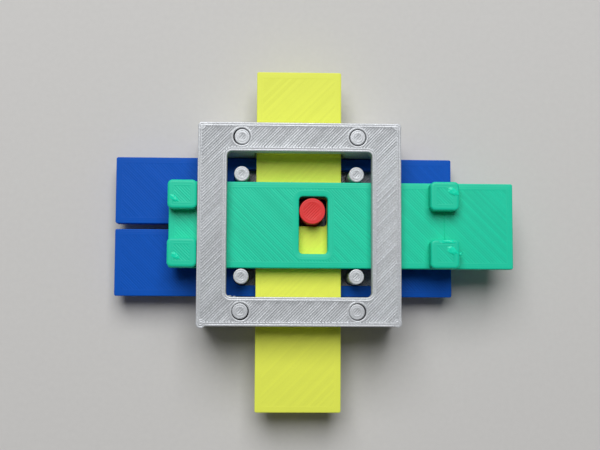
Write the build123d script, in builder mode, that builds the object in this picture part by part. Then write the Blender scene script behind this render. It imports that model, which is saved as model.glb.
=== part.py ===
from build123d import *
import os

# A sliding-plate relay. Four flat bars cross one another in a square housing: two output
# bars side by side at the bottom, the control bar over them at right angles, and the driver
# bar on top. One loose coupling pin stands in the slots of all of them. The control bar
# shifts the pin sideways, from the notch of one output bar to the notch of the other, and
# the driver bar then carries the pin and the output bar that holds it.
#
# Millimetres. X runs along the driver and output bars, Y along the control bar, Z up.
# The origin is the centre of the base's underside. The bars are drawn at rest: driver and
# output bars to the right (+X), control bar and coupling pin up (+Y).

# --- bars -----------------------------------------------------------------------------
travel = 6.0  # stroke of every bar
bar_width = 18.0  # driver bar and control bar
output_thickness = 3.0
control_thickness = 3.0
driver_thickness = 3.0
bar_corner = 0.4  # rounding of a bar's four corners in plan
short_reach = 12.0  # how far a bar stands out of the housing on its short side
long_reach = 18.0  # and on its long side
output_gap = 1.2  # between the two output bars
output_rim = 2.4  # outer edge of an output bar, beside its guide slot

# --- coupling pin and its slots -------------------------------------------------------
coupling_pin_diameter = 5.5
coupling_pin_proud = 0.2  # its top above the driver bar
slot_corner = 0.8

# --- stop bosses on the driver bar ----------------------------------------------------
boss_size = 6.0
boss_height = 3.0
boss_corner = 1.0
boss_edge_round = 0.3
grip_length = 11.8  # driver bar past its right-hand bosses

# --- housing --------------------------------------------------------------------------
border_width = 6.0  # ring of the retaining frame, and side walls of the base
base_thickness = 3.0
frame_thickness = 3.0
housing_corner = 0.8  # outer corners of base and frame in plan
window_corner = 1.0

# --- fixed pins -----------------------------------------------------------------------
pin_diameter = 3.2
pin_web = 1.25  # material between a frame pin and the control bar's channel
pin_floor = 1.0  # material left under each pin in the base
frame_pin_sunk = 0.1  # top of a frame pin below the top of the retaining frame

# --- clearances -----------------------------------------------------------------------
layer_gap = 0.15  # between one layer of bars and the next
side_gap = 0.15  # each side of a bar in its channel
guide_gap = 0.1  # between the driver bar and the guide pins
slot_gap = 0.25  # each side of the coupling pin in a slot
guide_slot_gap = 0.15  # each side of a guide pin in an output bar's slot
frame_hole_gap = 0.15  # each side of a frame pin in the retaining frame
stop_gap = 0.1  # between a stop boss and the retaining frame

# --- heights --------------------------------------------------------------------------
output_bottom = base_thickness + layer_gap
output_top = output_bottom + output_thickness
control_bottom = output_top + layer_gap
control_top = control_bottom + control_thickness
driver_bottom = control_top + layer_gap
driver_top = driver_bottom + driver_thickness
frame_bottom = driver_top + layer_gap
frame_top = frame_bottom + frame_thickness

# --- plan -----------------------------------------------------------------------------
bar_half = bar_width / 2
pin_radius = pin_diameter / 2
channel_half = bar_half + side_gap  # control bar's channel between the corner blocks
pin_x = channel_half + pin_web + pin_radius
guide_pin_y = bar_half + guide_gap + pin_radius
guide_slot_half = pin_radius + guide_slot_gap
output_outer_y = guide_pin_y + guide_slot_half + output_rim
window_half = output_outer_y + side_gap
housing_half = window_half + border_width
frame_pin_y = window_half + border_width / 2
housing_size = 2 * housing_half

slot_width = coupling_pin_diameter + 2 * slot_gap
slot_length = slot_width + travel
home = travel / 2  # the coupling pin stands this far right of, and above, the centre

control_length = housing_size + short_reach + long_reach
control_centre_y = (short_reach - long_reach) / 2
output_length = housing_size + short_reach + long_reach
output_centre_x = (short_reach - long_reach) / 2
output_inner_y = output_gap / 2
output_width = output_outer_y - output_inner_y

left_boss_x = -housing_half - stop_gap - boss_size / 2
right_boss_x = housing_half + travel + stop_gap + boss_size / 2
boss_y = bar_half - boss_size / 2
driver_left = left_boss_x - boss_size / 2
driver_right = right_boss_x + boss_size / 2 + grip_length
driver_length = driver_right - driver_left
driver_centre_x = (driver_left + driver_right) / 2

os.makedirs("parts", exist_ok=True)


# --- base: floor plate, a low side wall above and below the bars, four corner blocks ------
with BuildPart() as base_plate:
    with BuildSketch():
        RectangleRounded(housing_size, housing_size, housing_corner)
    extrude(amount=base_thickness)
    # side walls, level with the output bars that run between them
    with BuildSketch(Plane.XY.offset(base_thickness)):
        RectangleRounded(housing_size, housing_size, housing_corner)
        Rectangle(housing_size, 2 * window_half, mode=Mode.SUBTRACT)
    extrude(amount=output_thickness + layer_gap)
    # the walls' ends rise as corner blocks to carry the retaining frame
    with BuildSketch(Plane.XY.offset(output_top)):
        RectangleRounded(housing_size, housing_size, housing_corner)
        Rectangle(housing_size, 2 * window_half, mode=Mode.SUBTRACT)
        Rectangle(2 * channel_half, housing_size, mode=Mode.SUBTRACT)
    extrude(amount=frame_bottom - output_top)
    # blind holes for the frame pins in the blocks and for the guide pins in the floor
    with BuildSketch(Plane.XY.offset(pin_floor)):
        with GridLocations(2 * pin_x, 2 * frame_pin_y, 2, 2):
            Circle(pin_radius)
        with GridLocations(2 * pin_x, 2 * guide_pin_y, 2, 2):
            Circle(pin_radius)
    extrude(amount=frame_bottom, mode=Mode.SUBTRACT)
base_plate.part.label = "base_plate"
export_step(base_plate.part, "parts/base_plate.step")

# --- retaining frame: a square ring that the frame pins locate ----------------------------
with BuildPart() as retaining_frame:
    with BuildSketch(Plane.XY.offset(frame_bottom)):
        RectangleRounded(housing_size, housing_size, housing_corner)
        RectangleRounded(2 * window_half, 2 * window_half, window_corner, mode=Mode.SUBTRACT)
        with GridLocations(2 * pin_x, 2 * frame_pin_y, 2, 2):
            Circle(pin_radius + frame_hole_gap, mode=Mode.SUBTRACT)
    extrude(amount=frame_thickness)
retaining_frame.part.label = "retaining_frame"
export_step(retaining_frame.part, "parts/retaining_frame.step")


def fixed_pin(x, y, top, name):
    """A round pin pressed into the base, standing up to the given height."""
    with BuildPart() as pin:
        with BuildSketch(Plane.XY.offset(pin_floor)):
            with Locations((x, y)):
                Circle(pin_radius)
        extrude(amount=top - pin_floor)
    pin.part.label = name
    export_step(pin.part, f"parts/{name}.step")


# --- fixed pins: four hold the frame, four guide the output bars and the driver bar -------
corners = {
    "upper_left": (-1, 1),
    "upper_right": (1, 1),
    "lower_left": (-1, -1),
    "lower_right": (1, -1),
}
for corner, (side_x, side_y) in corners.items():
    fixed_pin(side_x * pin_x, side_y * frame_pin_y, frame_top - frame_pin_sunk, f"frame_pin_{corner}")
    fixed_pin(side_x * pin_x, side_y * guide_pin_y, driver_top, f"guide_pin_{corner}")


def output_slide(side, name):
    """One output bar, above (+1) or below (-1) the centre line."""
    with BuildPart() as bar:
        with BuildSketch(Plane.XY.offset(output_bottom)):
            with Locations((output_centre_x, side * (output_inner_y + output_width / 2))):
                RectangleRounded(output_length, output_width, bar_corner)
            # notch for the coupling pin, open at the bar's inner edge
            with Locations((home, 0)):
                RectangleRounded(slot_width, slot_length, slot_corner, mode=Mode.SUBTRACT)
            # guide slot: the left-hand end rests on one guide pin, and both pins pass the stroke
            with Locations((home, side * guide_pin_y)):
                SlotCenterToCenter(2 * pin_x + travel, 2 * guide_slot_half, mode=Mode.SUBTRACT)
        extrude(amount=output_thickness)
    bar.part.label = name
    export_step(bar.part, f"parts/{name}.step")


# --- output bars ------------------------------------------------------------------------
output_slide(1, "output_slide_upper")
output_slide(-1, "output_slide_lower")

# --- control bar: its slot lets the pin travel with the driver bar ------------------------
with BuildPart() as control_slide:
    with BuildSketch(Plane.XY.offset(control_bottom)):
        with Locations((0, control_centre_y)):
            RectangleRounded(bar_width, control_length, bar_corner)
        with Locations((0, home)):
            RectangleRounded(slot_length, slot_width, slot_corner, mode=Mode.SUBTRACT)
    extrude(amount=control_thickness)
control_slide.part.label = "control_slide"
export_step(control_slide.part, "parts/control_slide.step")

# --- driver bar: its slot lets the pin travel with the control bar, and its bosses strike
# --- the retaining frame at each end of the stroke ----------------------------------------
with BuildPart() as driver_slide:
    with BuildSketch(Plane.XY.offset(driver_bottom)):
        with Locations((driver_centre_x, 0)):
            RectangleRounded(driver_length, bar_width, bar_corner)
        with Locations((home, 0)):
            RectangleRounded(slot_width, slot_length, slot_corner, mode=Mode.SUBTRACT)
    extrude(amount=driver_thickness)
    with BuildSketch(Plane.XY.offset(driver_top)):
        with Locations(*[(x, y) for x in (left_boss_x, right_boss_x) for y in (boss_y, -boss_y)]):
            RectangleRounded(boss_size, boss_size, boss_corner)
    extrude(amount=boss_height)
    boss_tops = driver_slide.faces().filter_by(Axis.Z).group_by(Axis.Z)[-1]
    fillet(boss_tops.edges(), boss_edge_round)
driver_slide.part.label = "driver_slide"
export_step(driver_slide.part, "parts/driver_slide.step")

# --- coupling pin: stands on the floor plate and reaches the driver bar's top -------------
with BuildPart() as coupling_pin:
    with BuildSketch(Plane.XY.offset(base_thickness + layer_gap)):
        with Locations((home, home)):
            Circle(coupling_pin_diameter / 2)
    extrude(amount=driver_top + coupling_pin_proud - base_thickness - layer_gap)
coupling_pin.part.label = "coupling_pin"
export_step(coupling_pin.part, "parts/coupling_pin.step")

print(f"housing {housing_size:.2f} square, {frame_top:.2f} high")
print(f"driver bar {driver_length:.2f}, output bars {output_length:.2f} x {output_width:.2f}")
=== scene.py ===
import bpy
import bmesh
import math
import random
from mathutils import Euler, Matrix, Vector, noise


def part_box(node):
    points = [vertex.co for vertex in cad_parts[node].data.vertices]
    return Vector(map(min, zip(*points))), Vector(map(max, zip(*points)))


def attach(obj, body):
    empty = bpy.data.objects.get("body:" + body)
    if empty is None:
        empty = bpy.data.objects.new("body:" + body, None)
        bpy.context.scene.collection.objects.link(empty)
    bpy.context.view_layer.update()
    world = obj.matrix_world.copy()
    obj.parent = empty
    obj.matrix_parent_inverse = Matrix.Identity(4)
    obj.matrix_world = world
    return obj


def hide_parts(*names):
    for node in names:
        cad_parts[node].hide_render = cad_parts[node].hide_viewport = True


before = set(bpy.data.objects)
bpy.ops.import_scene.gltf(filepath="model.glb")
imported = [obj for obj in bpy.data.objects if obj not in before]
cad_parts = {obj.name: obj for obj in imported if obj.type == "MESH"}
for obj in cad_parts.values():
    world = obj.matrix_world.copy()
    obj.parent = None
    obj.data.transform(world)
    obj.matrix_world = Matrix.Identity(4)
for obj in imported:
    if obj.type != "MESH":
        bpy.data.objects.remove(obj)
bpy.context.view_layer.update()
metre = 0.001  # pieces are built in millimetres and shrunk to metres at the end
print("frame loaded:", len(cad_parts), "nodes")

# how the printer laid its plastic down
printer = {
    "line": 0.45,  # width of one extruded line
    "layer": 0.2,
    "walls": 3,  # lines laid round every outline
    "ridge": 0.035,  # how deep the joint between two layers is
    "wobble": 0.016,  # how far a layer wanders inwards
    "wobblePace": 0.11,  # turns of that wandering in a millimetre, as all the paces here
    "overlap": 0.14,  # raster lines run this far onto the innermost wall line
    "sway": 0.08,  # how far a raster line swings aside
    "swayPace": 0.3,
    "unevenPace": 0.21,  # of a raster line's height
    "seam": 0.05,  # largest pimple where a layer starts
    "lumpy": 0.5,  # how uneven a drop of ooze is
    "threadLumpy": 0.5,
}

# how finely the shapes are drawn, in millimetres
detail = {
    "arcSteps": 6,
    "wideArc": 1.2,  # an arc of more than this radius gets twice the steps
    "tightest": 0.02,  # smallest radius of a turned corner
    "shortest": 0.01,  # a straight shorter than this is left out
    "spacing": 2.4,  # longest straight stretch without a point
    "spare": 1,  # how far a shape that only cuts runs past the plate
    "probe": 0.1,  # a look this far in tells which way is inwards
    "sharp": 38,  # faces that meet at more than this many degrees keep a hard edge
    # ways to close up tiny edges: whether faces are cut into triangles first, and the longest edge that goes
    "closeUp": ((False, 0.001), (True, 0.001), (False, 0.0002), (True, 0.0002), (True, 0.00004)),
}


def mmBox(node):
    low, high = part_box(node)
    return low / metre, high / metre


# an outline is a list of right-angled corners (x, y, radius), anticlockwise
def rectangle(low, high, radius):
    return [(low[0], low[1], radius), (high[0], low[1], radius),
            (high[0], high[1], radius), (low[0], high[1], radius)]


def around(x, y, halfX, halfY, radius):
    return rectangle((x - halfX, y - halfY), (x + halfX, y + halfY), radius)


def outlinePoints(corners, depth):
    # points of the outline moved inwards by depth; a negative depth grows a hole
    count = len(corners)
    spots = [Vector(c[:2]) for c in corners]
    runs = [(spots[(i + 1) % count] - spots[i]) for i in range(count)]
    inward = [Vector((-r.y, r.x)).normalized() for r in runs]
    points = []
    for i in range(count):
        before, after, radius = inward[i - 1], inward[i], corners[i][2]
        convex = runs[i - 1].x * runs[i].y - runs[i - 1].y * runs[i].x > 0
        spot = spots[i] + (before + after) * depth
        turned = max(radius - depth if convex else radius + depth, detail["tightest"])
        sign = 1 if convex else -1
        centre = spot + (before + after) * turned * sign
        nextRadius = corners[(i + 1) % count][2]
        steps = detail["arcSteps"] * (2 if radius > detail["wideArc"] else 1)
        for k in range(steps + 1):
            angle = math.pi / 2 * k / steps
            points.append(centre - (before * math.cos(angle) + after * math.sin(angle)) * turned * sign)
        straight = runs[i].length - radius - nextRadius
        if straight < detail["shortest"]:
            points.pop()  # two arcs share this point
            continue
        pieces = max(1, round(straight / detail["spacing"]))
        nextSpot = spots[(i + 1) % count] + (after + inward[(i + 1) % count]) * depth
        nextConvex = runs[i].x * runs[(i + 1) % count].y - runs[i].y * runs[(i + 1) % count].x > 0
        nextTurned = max(nextRadius - depth if nextConvex else nextRadius + depth, detail["tightest"])
        start, stop = points[-1], nextSpot - runs[i].normalized() * nextTurned
        points += [start.lerp(stop, k / pieces) for k in range(1, pieces)]
    return points


def solid(name, points, faces):
    mesh = bpy.data.meshes.new(name)
    mesh.from_pydata([tuple(p) for p in points], [], faces)
    build = bmesh.new()
    build.from_mesh(mesh)
    bmesh.ops.recalc_face_normals(build, faces=build.faces)
    build.to_mesh(mesh)
    build.free()
    made = bpy.data.objects.new(name, mesh)
    bpy.context.scene.collection.objects.link(made)
    return made


def prism(name, loop, low, high):
    count = len(loop)
    points = [(p.x, p.y, low) for p in loop] + [(p.x, p.y, high) for p in loop]
    faces = [list(range(count))[::-1], list(range(count, 2 * count))]
    faces += [(k, (k + 1) % count, (k + 1) % count + count, k + count) for k in range(count)]
    return solid(name, points, faces)


def dome(share):
    # height lost across one bead, 0 on its crest and 1 at its edge
    return 1 - math.sqrt(max(0.0, 1 - (2 * share - 1) ** 2))


def bandProfile(low, high, walls, look):
    # (depth, height, layer) round the section of a wall: up its ridged side, then over its top beads
    layers = max(1, round((high - low) / printer["layer"]))
    rise = (high - low) / layers
    shoulder = look["shoulder"]
    width = walls * printer["line"]

    def topOf(depth, share):
        sag = look["slump"] * max(0.0, 1 - depth / width) ** 2
        return high - sag - look["wallGroove"] * dome(share)

    section = []
    for layer in range(layers):
        for share in (0, 0.25, 0.5, 0.75):
            height = low + (layer + share) * rise
            if height < high - look["slump"] - shoulder * 0.6:
                section.append((printer["ridge"] * dome(share), height, layer))
    for k in range(1, 4):
        angle = math.pi / 2 * k / 4
        depth = shoulder * (1 - math.cos(angle))
        section.append((depth, topOf(depth, 0.5) - shoulder * (1 - math.sin(angle)), layers - 1))
    for wall in range(walls):
        for share in (0, 0.2, 0.5, 0.8):
            depth = (wall + share) * printer["line"]
            if depth > shoulder:
                section.append((depth, topOf(depth, share), layers))
    section.append((width, topOf(width, 0), layers))
    section.append((width, low, layers))
    return section


def band(name, corners, low, high, look, seed, hole=False, walls=None):
    # the printed lines round one outline, closed into a ring
    section = bandProfile(low, high, walls or printer["walls"], look)
    side = -1 if hole else 1
    draw = random.Random(seed)
    seam = draw.randrange(1000)
    seamSize, pace = {}, printer["wobblePace"]
    points, faces = [], []
    for depth, height, layer in section:
        loop = outlinePoints(corners, side * depth)
        deeper = outlinePoints(corners, side * (depth + detail["probe"]))
        size = seamSize.setdefault(layer, draw.uniform(0.0, printer["seam"]))
        for k, p in enumerate(loop):
            inward = (deeper[k] - p).normalized()
            place = Vector((p.x * pace, p.y * pace, layer * 2.7 + seed))
            wander = 0.5 + 0.5 * noise.noise(place)
            push = printer["wobble"] * wander if depth < printer["line"] else 0
            if k == seam % len(loop) and depth < printer["line"] / 2:
                push -= min(size, push + depth)
            spot = p + inward * push
            points.append((spot.x, spot.y, height))
    count, rows = len(loop), len(section)
    for row in range(rows):
        upper = (row + 1) % rows
        for k in range(count):
            after = (k + 1) % count
            faces.append((row * count + k, row * count + after, upper * count + after, upper * count + k))
    return solid(name, points, faces)


def newTree(name, inputs):
    tree = bpy.data.node_groups.new(name, "GeometryNodeTree")
    tree.interface.new_socket("Geometry", in_out="INPUT", socket_type="NodeSocketGeometry")
    for label, kind in inputs:
        tree.interface.new_socket(label, in_out="INPUT", socket_type="NodeSocket" + kind)
    tree.interface.new_socket("Geometry", in_out="OUTPUT", socket_type="NodeSocketGeometry")
    return tree, tree.nodes.new("NodeGroupInput"), tree.nodes.new("NodeGroupOutput")


def calc(tree, operation, *values, clamp=False):
    node = tree.nodes.new("ShaderNodeMath")
    node.operation = operation
    node.use_clamp = clamp
    for socket, value in zip(node.inputs, values):
        if isinstance(value, (int, float)):
            socket.default_value = value
        else:
            tree.links.new(value, socket)
    return node.outputs[0]


def closeTree(tree, geometry, given, out):
    # every tree ends in plain geometry that carries its material
    real = tree.nodes.new("GeometryNodeRealizeInstances")
    finish = tree.nodes.new("GeometryNodeSetMaterial")
    tree.links.new(geometry, real.inputs["Geometry"])
    tree.links.new(real.outputs["Geometry"], finish.inputs["Geometry"])
    tree.links.new(given.outputs["Finish"], finish.inputs["Material"])
    tree.links.new(finish.outputs["Geometry"], out.inputs["Geometry"])


def rasterTree():
    # a slab whose top is a row of parallel beads, each wandering a little in height and to the side
    tree, given, out = newTree("rasterLines", [
        ("Lines", "Int"), ("Line Width", "Float"), ("Length", "Float"), ("Pieces", "Int"),
        ("Thickness", "Float"), ("Groove", "Float"), ("Uneven", "Float"), ("Sway", "Float"),
        ("Turn", "Rotation"), ("Top Middle", "Vector"), ("Seed", "Float"), ("Finish", "Material")])
    link = tree.links.new
    stepsPerLine = 5
    width = calc(tree, "MULTIPLY", given.outputs["Lines"], given.outputs["Line Width"])
    size = tree.nodes.new("ShaderNodeCombineXYZ")
    link(width, size.inputs["X"])
    link(given.outputs["Length"], size.inputs["Y"])
    link(given.outputs["Thickness"], size.inputs["Z"])
    slab = tree.nodes.new("GeometryNodeMeshCube")
    link(size.outputs["Vector"], slab.inputs["Size"])
    steps = calc(tree, "MULTIPLY", given.outputs["Lines"], stepsPerLine)
    link(calc(tree, "ADD", steps, 1), slab.inputs["Vertices X"])
    link(given.outputs["Pieces"], slab.inputs["Vertices Y"])
    place = tree.nodes.new("ShaderNodeSeparateXYZ")
    link(tree.nodes.new("GeometryNodeInputPosition").outputs["Position"], place.inputs["Vector"])
    fromEdge = calc(tree, "ADD", place.outputs["X"], calc(tree, "MULTIPLY", width, 0.5))
    across = calc(tree, "ADD", calc(tree, "DIVIDE", fromEdge, given.outputs["Line Width"]), 0.001)
    share = calc(tree, "SUBTRACT", calc(tree, "MULTIPLY", calc(tree, "FRACT", across), 2), 1)
    crown = calc(tree, "SQRT", calc(tree, "SUBTRACT", 1, calc(tree, "MULTIPLY", share, share), clamp=True))
    drop = calc(tree, "MULTIPLY", calc(tree, "SUBTRACT", 1, crown), given.outputs["Groove"])

    def wander(number, pace):
        # smooth chance along a line, from 0 to 1, with a new draw for every line
        spot = tree.nodes.new("ShaderNodeCombineXYZ")
        link(calc(tree, "MULTIPLY", number, 3.7), spot.inputs["X"])
        link(calc(tree, "MULTIPLY", place.outputs["Y"], pace), spot.inputs["Y"])
        link(given.outputs["Seed"], spot.inputs["Z"])
        cloud = tree.nodes.new("ShaderNodeTexNoise")
        cloud.inputs["Scale"].default_value = 1
        link(spot.outputs["Vector"], cloud.inputs["Vector"])
        return cloud.outputs[0]

    sunk = wander(calc(tree, "FLOOR", across), printer["unevenPace"])
    lower = calc(tree, "MULTIPLY", sunk, given.outputs["Uneven"])
    swing = calc(tree, "SUBTRACT", wander(calc(tree, "ROUND", across), printer["swayPace"]), 0.5)
    aside = calc(tree, "MULTIPLY", swing, given.outputs["Sway"])
    offset = tree.nodes.new("ShaderNodeCombineXYZ")
    link(aside, offset.inputs["X"])
    link(calc(tree, "MULTIPLY", calc(tree, "ADD", drop, lower), -1), offset.inputs["Z"])
    shape = tree.nodes.new("GeometryNodeSetPosition")
    link(slab.outputs["Mesh"], shape.inputs["Geometry"])
    link(calc(tree, "GREATER_THAN", place.outputs["Z"], 0), shape.inputs["Selection"])
    link(offset.outputs["Vector"], shape.inputs["Offset"])
    mark = tree.nodes.new("GeometryNodeStoreNamedAttribute")
    mark.data_type = "FLOAT"
    mark.domain = "FACE"
    mark.inputs["Name"].default_value = "raster"
    mark.inputs["Value"].default_value = 1
    link(shape.outputs["Geometry"], mark.inputs["Geometry"])
    hang = tree.nodes.new("ShaderNodeCombineXYZ")
    link(calc(tree, "MULTIPLY", given.outputs["Thickness"], -0.5), hang.inputs["Z"])
    shift = tree.nodes.new("ShaderNodeVectorMath")
    link(given.outputs["Top Middle"], shift.inputs[0])
    link(hang.outputs["Vector"], shift.inputs[1])
    move = tree.nodes.new("GeometryNodeTransform")
    link(mark.outputs["Geometry"], move.inputs["Geometry"])
    link(shift.outputs["Vector"], move.inputs["Translation"])
    link(given.outputs["Turn"], move.inputs["Rotation"])
    closeTree(tree, move.outputs["Geometry"], given, out)
    return tree


def pitTree():
    # small pits where the raster lines turn round against the innermost wall line
    tree, given, out = newTree("turningPits", [
        ("Spacing", "Float"), ("Pit Radius", "Float"), ("Spread", "Float"), ("Seed", "Int"),
        ("Finish", "Material")])
    link = tree.links.new
    path = tree.nodes.new("GeometryNodeMeshToCurve")
    link(given.outputs["Geometry"], path.inputs["Mesh"])
    spots = tree.nodes.new("GeometryNodeCurveToPoints")
    spots.mode = "LENGTH"
    link(path.outputs["Curve"], spots.inputs["Curve"])
    link(given.outputs["Spacing"], spots.inputs["Length"])
    pit = tree.nodes.new("GeometryNodeMeshIcoSphere")
    pit.inputs["Subdivisions"].default_value = 1
    link(given.outputs["Pit Radius"], pit.inputs["Radius"])
    chance = tree.nodes.new("FunctionNodeRandomValue")
    link(given.outputs["Seed"], chance.inputs["Seed"])
    link(calc(tree, "SUBTRACT", 1, given.outputs["Spread"]), chance.inputs[2])
    link(calc(tree, "ADD", 1, given.outputs["Spread"]), chance.inputs[3])
    scatter = tree.nodes.new("GeometryNodeInstanceOnPoints")
    link(spots.outputs["Points"], scatter.inputs["Points"])
    link(pit.outputs["Mesh"], scatter.inputs["Instance"])
    link(chance.outputs[1], scatter.inputs["Scale"])
    closeTree(tree, scatter.outputs["Instances"], given, out)
    return tree


trees = {"raster": rasterTree(), "pits": pitTree()}


def grown(name, carrier, tree, values):
    # runs a tree on an object and keeps the result as a plain object
    modifier = carrier.modifiers.new(name, "NODES")
    modifier.node_group = tree
    for item in tree.interface.items_tree:
        if item.in_out == "INPUT" and item.name in values:
            modifier[item.identifier] = values[item.name]
    mesh = bpy.data.meshes.new_from_object(carrier.evaluated_get(bpy.context.evaluated_depsgraph_get()))
    bpy.data.objects.remove(carrier)
    made = bpy.data.objects.new(name, mesh)
    bpy.context.scene.collection.objects.link(made)
    return made


def rasterSlab(low, high, top, thickness, look, seed):
    middle = (Vector(low[:2]) + Vector(high[:2])) / 2
    reach = (Vector(high[:2]) - Vector(low[:2])).length + 2 * detail["spare"]
    carrier = bpy.data.objects.new("rasterCarrier", bpy.data.meshes.new("rasterCarrier"))
    bpy.context.scene.collection.objects.link(carrier)
    return grown("raster", carrier, trees["raster"], {
        "Lines": math.ceil(reach / printer["line"]), "Line Width": printer["line"], "Length": reach,
        "Pieces": math.ceil(reach / detail["spacing"]), "Thickness": thickness,
        "Groove": look["rasterGroove"], "Uneven": look["uneven"], "Sway": printer["sway"],
        "Turn": Euler((0, 0, look["turn"])),
        "Top Middle": (middle.x, middle.y, top), "Seed": float(seed), "Finish": finishes[look["finish"]]})


def combined(base, steps):
    # booleans one after another; each operand is used up
    for operation, other in steps:
        modifier = base.modifiers.new(operation, "BOOLEAN")
        modifier.operation = operation
        modifier.solver = "MANIFOLD"
        modifier.object = other
        mesh = bpy.data.meshes.new_from_object(base.evaluated_get(bpy.context.evaluated_depsgraph_get()))
        base.modifiers.clear()
        base.data = mesh
        bpy.data.objects.remove(other)
    return base


def pits(outline, depth, top, look, seed):
    # the row of small holes where the raster lines turn back from the innermost wall line
    loop = outlinePoints(outline, depth)
    mesh = bpy.data.meshes.new("pitPath")
    edges = [(k, (k + 1) % len(loop)) for k in range(len(loop))]
    mesh.from_pydata([(p.x, p.y, top) for p in loop], edges, [])
    carrier = bpy.data.objects.new("pitPath", mesh)
    bpy.context.scene.collection.objects.link(carrier)
    return grown("pits", carrier, trees["pits"], {
        "Spacing": printer["line"] * math.sqrt(2), "Pit Radius": look["pit"], "Spread": look["pitSpread"],
        "Seed": seed, "Finish": finishes[look["finish"]]})


def plate(name, outline, low, high, look, seed, holes=()):
    # one printed plate: wall lines round its outline and holes, raster lines between them
    usual, spare = look.get("walls", printer["walls"]), detail["spare"]
    depth = usual * printer["line"] - printer["overlap"]
    wall = band(name + "Wall", outline, low, high, look, seed, False, usual)
    core = prism(name + "Core", outlinePoints(outline, depth), low, high + spare)
    near = Vector((min(c[0] for c in outline), min(c[1] for c in outline)))
    far = Vector((max(c[0] for c in outline), max(c[1] for c in outline)))
    steps = [("INTERSECT", rasterSlab(near, far, high, high - low + spare, look, seed)), ("UNION", wall)]
    for k, hole in enumerate(holes):
        walls = hole.get("walls", usual)
        cut = -(walls * printer["line"] - printer["overlap"])
        rim = {**look, "slump": look["rimSlump"]}
        bore = prism(name + "Cut", outlinePoints(hole["outline"], cut), low - spare, high + spare)
        lining = band(name + "Rim", hole["outline"], low, high, rim, seed + 31 + k, True, walls)
        steps += [("DIFFERENCE", bore), ("UNION", lining)]
    if look.get("pit"):
        steps.append(("DIFFERENCE", pits(outline, depth + 0.05, high, look, seed)))
        steps.append(("DIFFERENCE", pits(holes[0]["outline"], -depth - 0.05, high, look, seed + 1)))
    return combined(core, steps)


def blob(x, y, z, size, seed, turn=0.0):
    # a drop of plastic that oozed out where it should not have
    build = bmesh.new()
    bmesh.ops.create_icosphere(build, subdivisions=3, radius=1)
    for vert in build.verts:
        vert.co *= 1 + printer["lumpy"] * noise.noise(vert.co * 1.9 + Vector((seed * 3.1, 0, 0)))
    place = Matrix.Translation((x, y, z)) @ Matrix.Rotation(turn, 4, "Z") @ Matrix.Diagonal((*size, 1))
    bmesh.ops.transform(build, matrix=place, verts=build.verts)
    mesh = bpy.data.meshes.new("blob")
    build.to_mesh(mesh)
    build.free()
    mark = mesh.attributes.new("ooze", "FLOAT", "FACE")
    mark.data.foreach_set("value", [1.0] * len(mesh.polygons))
    made = bpy.data.objects.new("blob", mesh)
    bpy.context.scene.collection.objects.link(made)
    return made


def thread(points, radius, seed):
    # a hair of plastic pulled from one place to another
    ring, rows = 8, []
    path = [Vector(p) for p in points]
    for k, spot in enumerate(path):
        ahead = (path[min(k + 1, len(path) - 1)] - path[max(k - 1, 0)]).normalized()
        aside = ahead.cross(Vector((0, 0, 1))).normalized()
        up = aside.cross(ahead)
        thick = radius * (1 + printer["threadLumpy"] * noise.noise(Vector((k * 0.9, seed, 0))))
        for j in range(ring):
            angle = 2 * math.pi * j / ring
            rows.append(spot + (aside * math.cos(angle) + up * math.sin(angle)) * thick)
    last = len(path) - 1
    faces = [(k * ring + j, k * ring + (j + 1) % ring, (k + 1) * ring + (j + 1) % ring, (k + 1) * ring + j)
             for k in range(last) for j in range(ring)]
    faces += [list(range(ring))[::-1], list(range(last * ring, (last + 1) * ring))]
    return solid("thread", rows, faces)


def dropCrumbs(build):
    # a boolean can leave a bit loose that touches nothing; only the largest island stays
    left, islands = set(build.verts), []
    while left:
        island, fresh = set(), [left.pop()]
        while fresh:
            vert = fresh.pop()
            island.add(vert)
            near = {edge.other_vert(vert) for edge in vert.link_edges} & left
            left -= near
            fresh += near
        islands.append(island)
    main = max(islands, key=len)
    bmesh.ops.delete(build, geom=[vert for vert in build.verts if vert not in main], context="VERTS")


def cleaned(mesh):
    # closes up edges of almost no length, in the first way that leaves every edge between two faces
    for cutFaces, reach in detail["closeUp"]:
        build = bmesh.new()
        build.from_mesh(mesh)
        if cutFaces:
            bmesh.ops.triangulate(build, faces=[face for face in build.faces if len(face.verts) > 4])
        bmesh.ops.dissolve_degenerate(build, dist=reach, edges=build.edges)
        fins = [face for face in build.faces if any(edge.is_boundary for edge in face.edges)
                and any(len(edge.link_faces) > 2 for edge in face.edges)]
        bmesh.ops.delete(build, geom=fins, context="FACES")
        dropCrumbs(build)
        closed = all(len(edge.link_faces) == 2 for edge in build.edges)
        if closed:
            build.to_mesh(mesh)
        build.free()
        if closed:
            return
    print("no way of closing up", mesh.name, "left it whole, so it stays as it was")


def finished(made, name, finish, node, body):
    # cleaned, to metres and shaded, then fixed to its body in place of the CAD node
    mesh = made.data
    cleaned(mesh)
    mesh.transform(Matrix.Scale(metre, 4))
    for polygon in mesh.polygons:
        polygon.use_smooth = True
    mesh.set_sharp_from_angle(angle=math.radians(detail["sharp"]))
    mesh.materials.clear()
    mesh.materials.append(finishes[finish])
    for polygon in mesh.polygons:
        polygon.material_index = 0
    made.name = mesh.name = name
    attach(made, body)
    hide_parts(node)
    print(f"{name}: {sum(len(p.vertices) - 2 for p in mesh.polygons)} triangles")
    return made


# what all the plastics share
plastic = {
    "mottleScale": 0.22,  # clouds in a millimetre
    "grainGloss": 0.35,  # how much the grain changes the roughness
    "oozeGloss": 0.15,
    "toneGloss": 0.12,
    "bumpDepth": 0.05,
}


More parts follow.
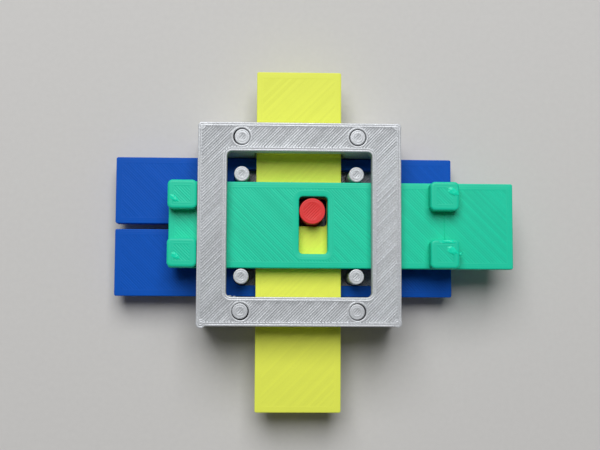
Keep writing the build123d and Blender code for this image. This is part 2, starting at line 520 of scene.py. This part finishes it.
def printedPlastic(name, look):
    # filament plastic: each raster line and layer has its own tone, over a faint mottle and a fine grain
    material = bpy.data.materials.new(name)
    material.use_nodes = True
    tree = material.node_tree
    tree.nodes.clear()
    link = tree.links.new
    surface = tree.nodes.new("ShaderNodeBsdfPrincipled")
    link(surface.outputs["BSDF"], tree.nodes.new("ShaderNodeOutputMaterial").inputs["Surface"])
    coordinates = tree.nodes.new("ShaderNodeTexCoord").outputs["Object"]

    def mapped(scale, turn=0.0):
        mapping = tree.nodes.new("ShaderNodeMapping")
        mapping.inputs["Scale"].default_value = (scale, scale, scale)
        mapping.inputs["Rotation"].default_value = (0, 0, turn)
        link(coordinates, mapping.inputs["Vector"])
        return mapping.outputs["Vector"]

    def cloud(scale, detail=2.0):
        texture = tree.nodes.new("ShaderNodeTexNoise")
        texture.inputs["Scale"].default_value = scale
        texture.inputs["Detail"].default_value = detail
        link(mapped(1 / metre), texture.inputs["Vector"])
        return texture.outputs["Fac"]

    def chance(number):
        noiseNode = tree.nodes.new("ShaderNodeTexWhiteNoise")
        noiseNode.noise_dimensions = "1D"
        link(number, noiseNode.inputs["W"])
        return noiseNode.outputs["Value"]

    def part(vector, axis):
        split = tree.nodes.new("ShaderNodeSeparateXYZ")
        link(vector, split.inputs["Vector"])
        return split.outputs[axis]

    raster = tree.nodes.new("ShaderNodeAttribute")
    raster.attribute_name = "raster"
    acrossLines = part(mapped(1 / metre, -look["turn"]), "X")
    lane = calc(tree, "FLOOR", calc(tree, "DIVIDE", acrossLines, printer["line"]))
    height = calc(tree, "SUBTRACT", part(mapped(1 / metre), "Z"), look["floor"] + 0.01)
    layer = calc(tree, "FLOOR", calc(tree, "DIVIDE", height, printer["layer"]))
    laneTone, layerTone = chance(lane), chance(layer)
    gap = calc(tree, "SUBTRACT", laneTone, layerTone)
    tone = calc(tree, "ADD", layerTone, calc(tree, "MULTIPLY", gap, raster.outputs["Fac"]))
    centred = calc(tree, "SUBTRACT", tone, 0.5)
    mottle = calc(tree, "SUBTRACT", cloud(plastic["mottleScale"]), 0.5)
    grain = calc(tree, "SUBTRACT", cloud(look["grainScale"], 3.0), 0.5)
    specks = calc(tree, "ADD", calc(tree, "MULTIPLY", mottle, look["mottle"]),
                  calc(tree, "MULTIPLY", grain, look["grain"]))
    shade = calc(tree, "ADD", calc(tree, "MULTIPLY", centred, look["lineTone"]), specks)
    # silver flakes: the filament's real metal flakes, with their glint painted in as lighter specks
    if look.get("flakeGlint"):
        cells = tree.nodes.new("ShaderNodeTexVoronoi")
        cells.inputs["Scale"].default_value = look["flakeScale"]
        link(mapped(1 / metre), cells.inputs["Vector"])
        share = look["flakeShare"]  # this share of the cells is a flake, painted lighter as its glint
        lit = calc(tree, "SUBTRACT", part(cells.outputs["Color"], "X"), 1 - share)
        glintedFlake = calc(tree, "MAXIMUM", lit, 0)
        shade = calc(tree, "ADD", shade, calc(tree, "MULTIPLY", glintedFlake, look["flakeGlint"] / share))
    # ooze faces: their colour is lightened as a painted highlight that stands for their sheen, and they are
    # also made glossier
    ooze = tree.nodes.new("ShaderNodeAttribute")
    ooze.attribute_name = "ooze"
    shade = calc(tree, "ADD", shade, calc(tree, "MULTIPLY", ooze.outputs["Fac"], look["oozeHighlight"]))
    tint = tree.nodes.new("ShaderNodeVectorMath")
    tint.operation = "SCALE"
    tint.inputs[0].default_value = look["colour"]
    link(calc(tree, "MAXIMUM", calc(tree, "ADD", shade, 1), 0.05), tint.inputs["Scale"])
    link(tint.outputs["Vector"], surface.inputs["Base Color"])
    rough = calc(tree, "ADD", look["roughness"], calc(tree, "MULTIPLY", grain, plastic["grainGloss"]))
    rough = calc(tree, "SUBTRACT", rough, calc(tree, "MULTIPLY", ooze.outputs["Fac"], plastic["oozeGloss"]))
    toneRough = calc(tree, "MULTIPLY", centred, plastic["toneGloss"])
    link(calc(tree, "SUBTRACT", rough, toneRough, clamp=True), surface.inputs["Roughness"])
    bump = tree.nodes.new("ShaderNodeBump")
    bump.inputs["Strength"].default_value = look["bump"]
    bump.inputs["Distance"].default_value = plastic["bumpDepth"] * metre
    link(cloud(look["grainScale"] * 0.7, 4.0), bump.inputs["Height"])
    link(bump.outputs["Normal"], surface.inputs["Normal"])
    surface.inputs["Metallic"].default_value = look.get("metallic", 0.0)
    surface.inputs["Specular IOR Level"].default_value = look.get("specular", 0.45)
    return material


slash, backslash = math.radians(-45), math.radians(45)  # which way the raster lines run, seen from above

finishes = {
    "silver": printedPlastic("silverFilament", {
        "colour": (0.50, 0.52, 0.545), "oozeHighlight": 0.04, "turn": slash, "floor": 0.0, "lineTone": 0.24,
        "mottle": 0.10, "grain": 0.16, "grainScale": 5.0, "roughness": 0.38, "bump": 0.3, "metallic": 0.15,
        "flakeGlint": 0.42, "flakeShare": 0.3, "flakeScale": 8.0}),
    "blue": printedPlastic("blueFilament", {
        "colour": (0.002, 0.097, 0.54), "oozeHighlight": 0.2, "turn": backslash, "floor": 3.15, "lineTone": 0.07,
        "mottle": 0.10, "grain": 0.15, "grainScale": 4.0, "roughness": 0.45, "bump": 0.25, "specular": 0.1}),
    "yellow": printedPlastic("yellowFilament", {
        "colour": (0.88, 0.95, 0.11), "oozeHighlight": 0.1, "turn": slash, "floor": 6.3, "lineTone": 0.05,
        "mottle": 0.05, "grain": 0.06, "grainScale": 4.0, "roughness": 0.45, "bump": 0.2, "specular": 0.2}),
    "green": printedPlastic("greenFilament", {
        "colour": (0.010, 0.68, 0.42), "oozeHighlight": 0.22, "turn": backslash, "floor": 9.45, "lineTone": 0.12,
        "mottle": 0.08, "grain": 0.12, "grainScale": 4.0, "roughness": 0.40, "bump": 0.25, "specular": 0.25}),
    "red": printedPlastic("redFilament", {
        "colour": (0.84, 0.045, 0.045), "oozeHighlight": 0.15, "turn": slash, "floor": 3.15, "lineTone": 0.10,
        "mottle": 0.08, "grain": 0.10, "grainScale": 4.0, "roughness": 0.42, "bump": 0.25, "specular": 0.25}),
}
print("materials made:", ", ".join(finishes))


# the silver ring on top
retainingFrame = {
    "finish": "silver", "seed": 11, "border": 6.0, "outerCorner": 0.8, "windowCorner": 1.0,
    "holeRadius": 1.75, "holeWalls": 1, "walls": 2, "turn": slash, "wallGroove": 0.05, "rasterGroove": 0.08,
    "uneven": 0.06, "shoulder": 0.13, "slump": 0.03, "rimSlump": 0.03, "pit": 0.13, "pitSpread": 0.45,
    # corners where the plastic piled up: how far in along X and Y, and the radius of the swelling
    "swollen": {(-1, -1): (0.98, 0.56, 1.02), (1, -1): (0.80, 0.78, 0.94), (1, 1): (0.76, 0.80, 0.84),
                (-1, 1): (0.80, 0.84, 0.86)},
    "swollenWalls": 2, "swollenSeed": 5,
    # ooze in the window's lower left corner: place from that corner and the top, and size
    "ooze": [((0.75, 0.12, -0.5), (0.42, 0.16, 0.4)), ((1.75, 0.05, -0.6), (0.30, 0.14, 0.4))],
    "oozeSeed": 15,
}
corners = ("upper_left", "upper_right", "lower_left", "lower_right")


def pinPlace(name):
    low, high = mmBox(name)
    return {"x": (low.x + high.x) / 2, "y": (low.y + high.y) / 2, "radius": (high.x - low.x) / 2,
            "bottom": low.z, "top": high.z}


def makeRetainingFrame(look):
    low, high = mmBox("retaining_frame")
    edge = look["border"]
    window = rectangle((low.x + edge, low.y + edge), (high.x - edge, high.y - edge), look["windowCorner"])
    holes = [{"outline": window}]
    for corner in corners:
        pin = pinPlace("frame_pin_" + corner)
        r = look["holeRadius"]
        holes.append({"outline": around(pin["x"], pin["y"], r, r, r), "walls": look["holeWalls"]})
    outline = rectangle(low, high, look["outerCorner"])
    made = plate("retainingFrame", outline, low.z, high.z, look, look["seed"], holes)
    lumps = []
    for number, ((sideX, sideY), (inX, inY, radius)) in enumerate(look["swollen"].items()):
        circle = around(sideX * (high.x - inX), sideY * (high.y - inY), radius, radius, radius)
        core = prism("lumpCore", outlinePoints(circle, printer["line"]), low.z, high.z - printer["layer"])
        seed = look["swollenSeed"] + number
        wall = band("lump", circle, low.z, high.z, look, seed, walls=look["swollenWalls"])
        lumps += [("UNION", core), ("UNION", wall)]
    for number, ((dx, dy, dz), size) in enumerate(look["ooze"]):
        drop = blob(low.x + edge + dx, low.y + edge + dy, high.z + dz, size, look["oozeSeed"] + number)
        lumps.append(("UNION", drop))
    made = combined(made, lumps)
    finished(made, "retainingFrame", look["finish"], "retaining_frame", "housing")


# the floor, rails and corner blocks under it
baseLook = {"finish": "silver", "seed": 21, "floorTop": 3.0, "railWidth": 6.0, "railTop": 6.15,
            "blockStart": 9.15, "corner": 0.8, "pinPlay": 0.08, "sunk": 0.2, "turn": slash,
            "wallGroove": 0.025, "rasterGroove": 0.05, "uneven": 0.05, "shoulder": 0.11, "slump": 0.02}


def makeBase(look):
    low, high = mmBox("base_plate")
    seed, sunk = look["seed"], look["sunk"]
    made = plate("base", rectangle(low, high, look["corner"]), low.z, look["floorTop"], look, seed)
    steps = []
    for side in (-1, 1):
        edges = sorted((side * high.y, side * (high.y - look["railWidth"])))
        rail = rectangle((low.x, edges[0]), (high.x, edges[1]), look["corner"])
        steps.append(("UNION", plate("rail", rail, look["floorTop"] - sunk, look["railTop"], look, seed)))
        for end in (-1, 1):
            reach = sorted((end * high.x, end * look["blockStart"]))
            block = rectangle((reach[0], edges[0]), (reach[1], edges[1]), look["corner"])
            steps.append(("UNION", plate("block", block, look["railTop"] - sunk, high.z, look, seed)))
    for kind in ("frame_pin_", "guide_pin_"):
        for corner in corners:
            pin = pinPlace(kind + corner)
            r = pin["radius"] + look["pinPlay"]
            circle = outlinePoints(around(pin["x"], pin["y"], r, r, r), 0)
            steps.append(("DIFFERENCE", prism("bore", circle, pin["bottom"], pin["top"])))
    made = combined(made, steps)
    finished(made, "basePlate", look["finish"], "base_plate", "housing")


# what the sliding bars share
barLook = {"corner": 0.4, "slotCorner": 0.8, "pinPlay": 0.25, "travel": 6.0}

driverLook = {
    "finish": "green", "seed": 41, "bossSize": 6.0, "bossHeight": 3.0, "bossCorner": 1.0,
    "bossShoulder": 0.38, "bossSlump": 0.02, "bossSeed": 47, "rightBoss": 14.8, "sunk": 0.2,
    "turn": backslash, "wallGroove": 0.012, "rasterGroove": 0.028, "uneven": 0.035, "shoulder": 0.22,
    "slump": 0.04, "rimSlump": 0.13,
    # ooze left on the bosses: place from the boss middle, size, turn in degrees
    "ooze": {"rightUpper": [((1.70, 0.95, 0.0), (1.15, 0.62, 0.14), -36),
                            ((2.55, 1.2, -0.25), (0.40, 0.8, 0.24), 8)],
             "rightLower": [((1.45, 0.75, 0.0), (1.15, 0.66, 0.14), -34),
                            ((3.18, 0.10, -0.55), (0.42, 0.42, 0.36), 20),
                            ((0.4, 2.50, -0.1), (2.0, 0.36, 0.20), 0)],
             "leftUpper": [((-1.65, -0.85, 0.0), (1.0, 0.46, 0.12), -38)],
             "leftLower": [((-1.25, -0.70, 0.0), (0.9, 0.52, 0.12), -40),
                           ((-2.6, -1.9, -0.3), (0.3, 0.4, 0.25), 0)]},
    "oozeSeed": 3,
    # hairs of plastic beside the right bosses: places from the upper boss middle and the bar's top
    "threads": {"between": [(0.25, -3.0, 0.6), (0.32, -4.1, 0.16), (0.28, -5.4, 0.10), (0.40, -6.8, 0.10),
                            (0.36, -8.2, 0.2), (0.30, -9.2, 0.9)],
                "beside": [(3.0, 2.1, 0.9), (3.35, 1.6, 0.24), (3.48, 0.6, 0.10), (3.45, -0.5, 0.10),
                           (3.25, -1.4, 0.2), (2.9, -2.0, 0.7)]},
    "threadRadius": 0.055,
}

controlLook = {"finish": "yellow", "seed": 61, "turn": slash, "wallGroove": 0.010, "rasterGroove": 0.020,
               "uneven": 0.025, "shoulder": 0.12, "slump": 0.03, "rimSlump": 0.05}

outputLook = {"finish": "blue", "seed": {"upper": 71, "lower": 83}, "guideHalfLength": 16.75,
              "guideHalfWidth": 1.75, "notchDepth": 5.4, "turn": backslash, "wallGroove": 0.010,
              "rasterGroove": 0.020, "uneven": 0.025, "shoulder": 0.12, "slump": 0.03, "rimSlump": 0.03}


def makeDriver(look):
    low, high = mmBox("driver_slide")
    pin = pinPlace("coupling_pin")
    top = high.z - look["bossHeight"]
    wide = pin["radius"] + barLook["pinPlay"]
    slot = around(pin["x"], (low.y + high.y) / 2, wide, wide + barLook["travel"] / 2, barLook["slotCorner"])
    outline = rectangle(low, high, barLook["corner"])
    made = plate("driver", outline, low.z, top, look, look["seed"], [{"outline": slot}])
    half = look["bossSize"] / 2
    bossStyle = {**look, "shoulder": look["bossShoulder"], "slump": look["bossSlump"]}
    steps = []
    for ends, bossX in (("left", low.x + half), ("right", high.x - look["rightBoss"])):
        for level, bossY in (("Lower", low.y + half), ("Upper", high.y - half)):
            outline = around(bossX, bossY, half, half, look["bossCorner"])
            seed = look["bossSeed"] + len(steps)
            steps.append(("UNION", plate("boss", outline, top - look["sunk"], high.z, bossStyle, seed)))
            for number, ((dx, dy, dz), size, turn) in enumerate(look["ooze"][ends + level]):
                spot, seed = (bossX + dx, bossY + dy, high.z + dz), look["oozeSeed"] + number
                steps.append(("UNION", blob(*spot, size, seed, math.radians(turn))))
    for number, route in enumerate(look["threads"].values()):
        spots = [(high.x - look["rightBoss"] + dx, high.y - half + dy, top + dz) for dx, dy, dz in route]
        steps.append(("UNION", thread(spots, look["threadRadius"], number)))
    made = combined(made, steps)
    finished(made, "driverSlide", look["finish"], "driver_slide", "driver")


def makeControl(look):
    low, high = mmBox("control_slide")
    pin = pinPlace("coupling_pin")
    wide = pin["radius"] + barLook["pinPlay"]
    slot = around((low.x + high.x) / 2, pin["y"], wide + barLook["travel"] / 2, wide, barLook["slotCorner"])
    outline = rectangle(low, high, barLook["corner"])
    made = plate("control", outline, low.z, high.z, look, look["seed"], [{"outline": slot}])
    finished(made, "controlSlide", look["finish"], "control_slide", "control")


def makeOutput(side, look):
    name = "output_slide_" + side
    low, high = mmBox(name)
    pin = pinPlace("coupling_pin")
    wide = pin["radius"] + barLook["pinPlay"]
    r, notchR = barLook["corner"], barLook["slotCorner"]
    start, stop = pin["x"] - wide, pin["x"] + wide
    if side == "upper":
        floor = low.y + look["notchDepth"]
        outline = [(low.x, low.y, r), (start, low.y, r), (start, floor, notchR), (stop, floor, notchR),
                   (stop, low.y, r), (high.x, low.y, r), (high.x, high.y, r), (low.x, high.y, r)]
    else:
        floor = high.y - look["notchDepth"]
        outline = [(low.x, low.y, r), (high.x, low.y, r), (high.x, high.y, r), (stop, high.y, r),
                   (stop, floor, notchR), (start, floor, notchR), (start, high.y, r), (low.x, high.y, r)]
    guideY = pinPlace("guide_pin_" + side + "_left")["y"]
    halfWidth = look["guideHalfWidth"]
    slot = around(pin["x"], guideY, look["guideHalfLength"], halfWidth, halfWidth)
    made = plate(name, outline, low.z, high.z, look, look["seed"][side], [{"outline": slot}])
    finished(made, "outputSlide" + side.capitalize(), look["finish"], name, "output_" + side)


pinLook = {
    "finish": "silver", "seed": 91, "walls": 2, "turn": slash, "wallGroove": 0.03, "rasterGroove": 0.06,
    "uneven": 0.03, "shoulder": 0.10, "slump": 0.03,
    "play": {"frame_pin_": 0.0, "guide_pin_": 0.02, "coupling_pin": 0.05},
    # how far the top of each frame pin leans in its hole, along X and Y
    "lean": {"upper_left": (0.11, 0.0), "upper_right": (0.02, 0.05), "lower_left": (-0.07, 0.10),
             "lower_right": (-0.13, 0.03)},
}

couplingLook = {**pinLook, "finish": "red", "seed": 99, "shift": (-0.25, -0.08)}


def roundPin(name, node, look, seed, lean=(0.0, 0.0), shift=(0.0, 0.0)):
    # a pin printed standing up: two wall lines round its end and raster lines inside them
    pin = pinPlace(node)
    x, y, low, high = pin["x"], pin["y"], pin["bottom"], pin["top"]
    walls, spare = look["walls"], detail["spare"]
    r = pin["radius"] - next(play for kind, play in look["play"].items() if node.startswith(kind))
    circle = around(x, y, r, r, r)
    depth = walls * printer["line"] - printer["overlap"]
    core = prism(name, outlinePoints(circle, depth), low, high + spare)
    slab = rasterSlab((x - r, y - r), (x + r, y + r), high, high - low + spare, look, seed)
    wall = band("pinWall", circle, low, high, look, seed, False, walls)
    made = combined(core, [("INTERSECT", slab), ("UNION", wall)])
    for vert in made.data.vertices:
        rise = (vert.co.z - low) / (high - low)
        vert.co.x += shift[0] + lean[0] * rise
        vert.co.y += shift[1] + lean[1] * rise
    return made


def makePins(look):
    for number, corner in enumerate(corners):
        words = "".join(word.capitalize() for word in corner.split("_"))
        for kind, shown in (("frame_pin_", "framePin"), ("guide_pin_", "guidePin")):
            lean = look["lean"][corner] if kind == "frame_pin_" else (0.0, 0.0)
            made = roundPin(shown, kind + corner, look, look["seed"] + number, lean)
            finished(made, shown + words, look["finish"], kind + corner, "housing")


def makeCouplingPin(look):
    made = roundPin("couplingPin", "coupling_pin", look, look["seed"], shift=look["shift"])
    finished(made, "couplingPin", look["finish"], "coupling_pin", "pin")


makeRetainingFrame(retainingFrame)
makeBase(baseLook)
makeDriver(driverLook)
makeControl(controlLook)
for side in ("upper", "lower"):
    makeOutput(side, outputLook)
makePins(pinLook)
makeCouplingPin(couplingLook)
print("15 pieces made")


studio = {"floorSize": 1.6, "floorColour": (0.70, 0.69, 0.675), "floorMottle": 0.94, "floorScale": 900,
          "floorRoughness": 0.8, "horizon": 0.20, "zenith": 0.05, "ceiling": 0.55,
          "power": 10.4, "size": 0.78, "place": (-0.06, 0.54, 0.86)}

view = {"lens": 60.6, "sensor": 36, "nearest": 0.01, "place": (-0.00683, -0.01660, 0.22207),
        "turned": (4.52, -1.946, 0.288)}


def makeStudio(look):
    half = look["floorSize"] / 2
    spots = [(-half, -half, 0), (half, -half, 0), (half, half, 0), (-half, half, 0)]
    floor = solid("studioFloor", spots, [(0, 1, 2, 3)])
    paper = bpy.data.materials.new("studioPaper")
    paper.use_nodes = True
    nodes, link = paper.node_tree.nodes, paper.node_tree.links.new
    surface = nodes["Principled BSDF"]
    cloud = nodes.new("ShaderNodeTexNoise")
    cloud.inputs["Scale"].default_value = look["floorScale"]
    link(nodes.new("ShaderNodeTexCoord").outputs["Object"], cloud.inputs["Vector"])
    ramp = nodes.new("ShaderNodeValToRGB")
    ramp.color_ramp.elements[0].color = (*[c * look["floorMottle"] for c in look["floorColour"]], 1)
    ramp.color_ramp.elements[1].color = (*look["floorColour"], 1)
    link(cloud.outputs["Fac"], ramp.inputs["Fac"])
    link(ramp.outputs["Color"], surface.inputs["Base Color"])
    surface.inputs["Roughness"].default_value = look["floorRoughness"]
    floor.data.materials.append(paper)
    world = bpy.data.worlds.new("studioAir")  # bright walls under a dim ceiling
    world.use_nodes = True
    nodes, link = world.node_tree.nodes, world.node_tree.links.new
    direction = nodes.new("ShaderNodeSeparateXYZ")
    link(nodes.new("ShaderNodeTexCoord").outputs["Object"], direction.inputs["Vector"])
    fade = nodes.new("ShaderNodeValToRGB")
    fade.color_ramp.elements[0].color = (*[look["horizon"]] * 3, 1)
    fade.color_ramp.elements[1].color = (*[look["zenith"]] * 3, 1)
    fade.color_ramp.elements[1].position = look["ceiling"]
    link(direction.outputs["Z"], fade.inputs["Fac"])
    link(fade.outputs["Color"], nodes["Background"].inputs["Color"])
    bpy.context.scene.world = world
    lamp = bpy.data.objects.new("softBox", bpy.data.lights.new("softBox", "AREA"))
    lamp.data.shape = "SQUARE"
    lamp.data.size = look["size"]
    lamp.data.energy = look["power"]
    lamp.location = look["place"]
    lamp.rotation_euler = Vector(look["place"]).to_track_quat("Z", "Y").to_euler()
    bpy.context.scene.collection.objects.link(lamp)


def makeCamera(look):
    camera = bpy.data.objects.new("camera", bpy.data.cameras.new("camera"))
    camera.data.lens = look["lens"]
    camera.data.sensor_width = look["sensor"]
    camera.data.clip_start = look["nearest"]
    camera.location = look["place"]
    camera.rotation_euler = [math.radians(angle) for angle in look["turned"]]
    bpy.context.scene.collection.objects.link(camera)
    bpy.context.scene.camera = camera
    bpy.context.scene.view_settings.view_transform = "Standard"


makeStudio(studio)
makeCamera(view)
print("floor, light and camera set")
